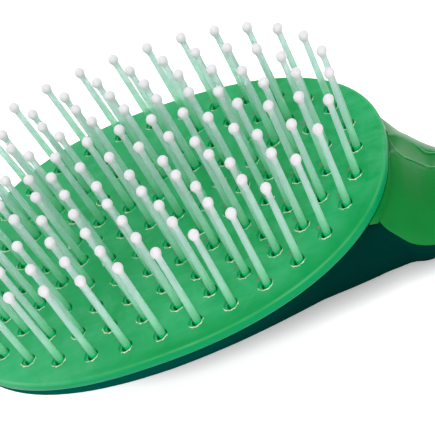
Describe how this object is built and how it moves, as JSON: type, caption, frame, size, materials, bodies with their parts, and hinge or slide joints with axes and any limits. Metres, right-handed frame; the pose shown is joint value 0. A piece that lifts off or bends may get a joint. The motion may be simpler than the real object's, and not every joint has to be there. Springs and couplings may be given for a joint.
{
  "type": "mane and tail brush",
  "caption": "Oval cushion brush with ball-ended pins in a soft pad, a dish-shaped back and a two-part handle with a thumb recess.",
  "frame": {"origin": "centre of the flat back under the head", "axes": "+X from the head along the handle, +Z the way the pins point, out of the pad"},
  "size_m": [0.215, 0.0758, 0.0454],
  "materials": {
    "dark_plastic": "smooth dark teal plastic",
    "green_plastic": "smooth satin green plastic",
    "pad_rubber": "soft translucent green rubber, satin",
    "pin_nylon": "milky translucent nylon with opaque white balls"
  },
  "bodies": {
    "body": {"back_shell": "dark_plastic", "handle_cover": "green_plastic", "cushion_pad": "pad_rubber"},
    "pin_field": {"pin_bar_1_1": "pin_nylon", "pin_bar_1_2": "pin_nylon", "pin_bar_1_3": "pin_nylon", "pin_bar_1_4": "pin_nylon", "pin_bar_1_5": "pin_nylon", "pin_bar_1_6": "pin_nylon", "pin_bar_1_7": "pin_nylon", "pin_bar_1_8": "pin_nylon", "pin_bar_2_1": "pin_nylon", "pin_bar_2_2": "pin_nylon", "pin_bar_2_3": "pin_nylon", "pin_bar_2_4": "pin_nylon", "pin_bar_2_5": "pin_nylon", "pin_bar_2_6": "pin_nylon", "pin_bar_2_7": "pin_nylon", "pin_bar_3_1": "pin_nylon", "pin_bar_3_2": "pin_nylon", "pin_bar_3_3": "pin_nylon", "pin_bar_3_4": "pin_nylon", "pin_bar_3_5": "pin_nylon", "pin_bar_3_6": "pin_nylon", "pin_bar_4_1": "pin_nylon", "pin_bar_4_2": "pin_nylon", "pin_bar_4_3": "pin_nylon", "pin_bar_4_4": "pin_nylon", "pin_bar_5_1": "pin_nylon", "pin_bar_5_2": "pin_nylon", "pin_bar_5_3": "pin_nylon", "pin_bar_6_1": "pin_nylon"}
  },
  "joints": [
    {"name": "cushion_press", "type": "slide", "parent": "body", "child": "pin_field", "axis": [0, 0, -1], "range_m": [0, 0.002], "stiffness_N_per_m": 1500, "deforming": ["cushion_pad"]}
  ]
}
